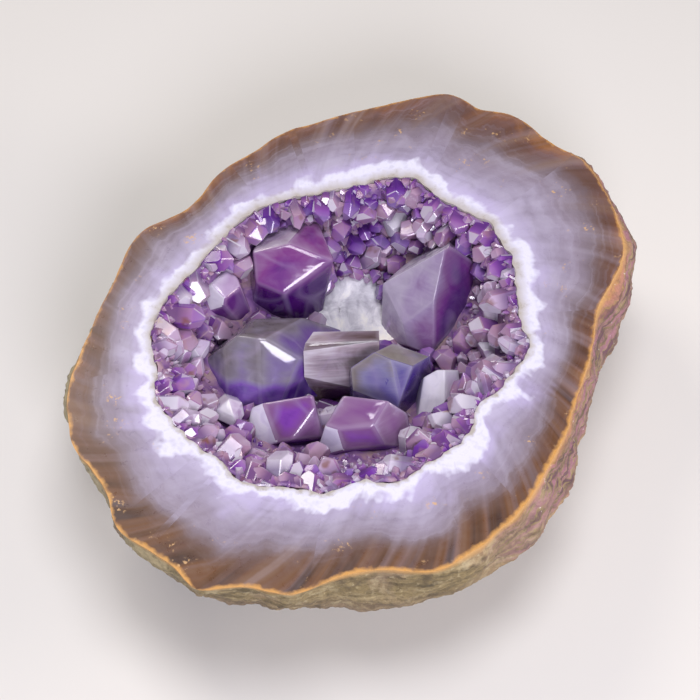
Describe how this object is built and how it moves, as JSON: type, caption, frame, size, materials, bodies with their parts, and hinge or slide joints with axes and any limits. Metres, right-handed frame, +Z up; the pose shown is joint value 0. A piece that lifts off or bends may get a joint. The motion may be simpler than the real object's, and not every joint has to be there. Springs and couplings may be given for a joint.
{
  "type": "geode half",
  "caption": "Sawn half of an agate geode: a banded stone shell with a level polished face and a hollow lined with amethyst crystals.",
  "frame": {"origin": "middle of the stone's extent, level with the flat that it stands on", "axes": "+Z up, square to the cut face; +X to the right and +Y away when the stone is seen from the front with its long axis running from near left to far right"},
  "size_m": [0.1462, 0.152, 0.048],
  "materials": {
    "banded_agate": "cut face polished and banded brown to lilac to white, rind rough and matte",
    "amethyst": "clear to milky violet crystal with glossy natural facets"
  },
  "bodies": {
    "root": {"agate_shell": "banded_agate", "amethyst_crust": "amethyst"}
  },
  "joints": []
}
